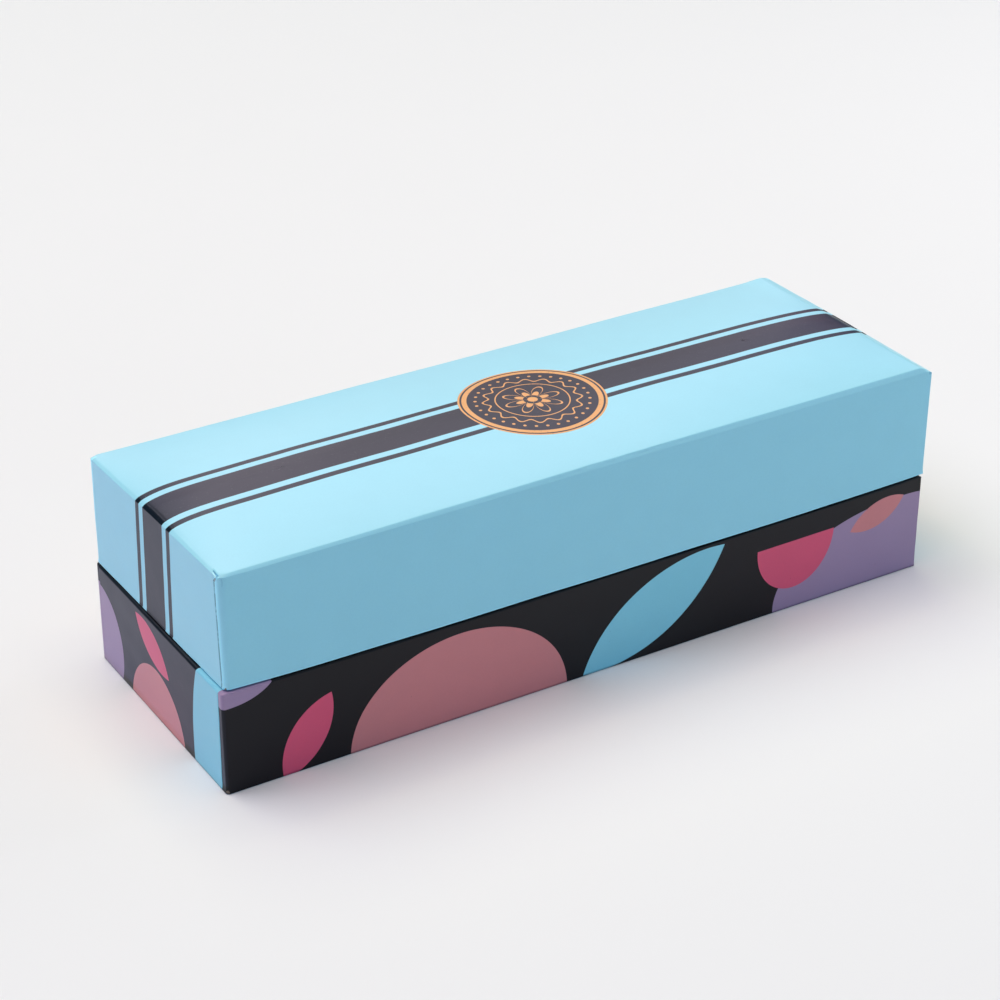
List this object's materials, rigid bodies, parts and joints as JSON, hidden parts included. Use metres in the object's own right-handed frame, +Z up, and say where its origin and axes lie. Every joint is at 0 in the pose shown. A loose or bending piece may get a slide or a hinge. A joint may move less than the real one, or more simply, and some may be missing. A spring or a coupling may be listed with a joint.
{
  "type": "cardboard gift box",
  "caption": "Long narrow rigid cardboard gift box, shut, with a lift-off lid flush with its base, a crowned top and printed paper wrap.",
  "frame": {"origin": "middle of the underside of the whole shut box", "axes": "+X along the length, with the end that shows in the picture at -X; +Z up; the long side that shows at -Y"},
  "size_m": [0.2006, 0.0719, 0.0597],
  "materials": {
    "base_paper": "satin wrap paper on grey board, near-black ground with large fields of rose, pink, light blue and violet",
    "lid_paper": "satin wrap paper on grey board, light blue with a dark band between two thin lines and a round dark badge in copper ink"
  },
  "bodies": {
    "root": {"base": "base_paper", "lid": "lid_paper"}
  },
  "joints": []
}
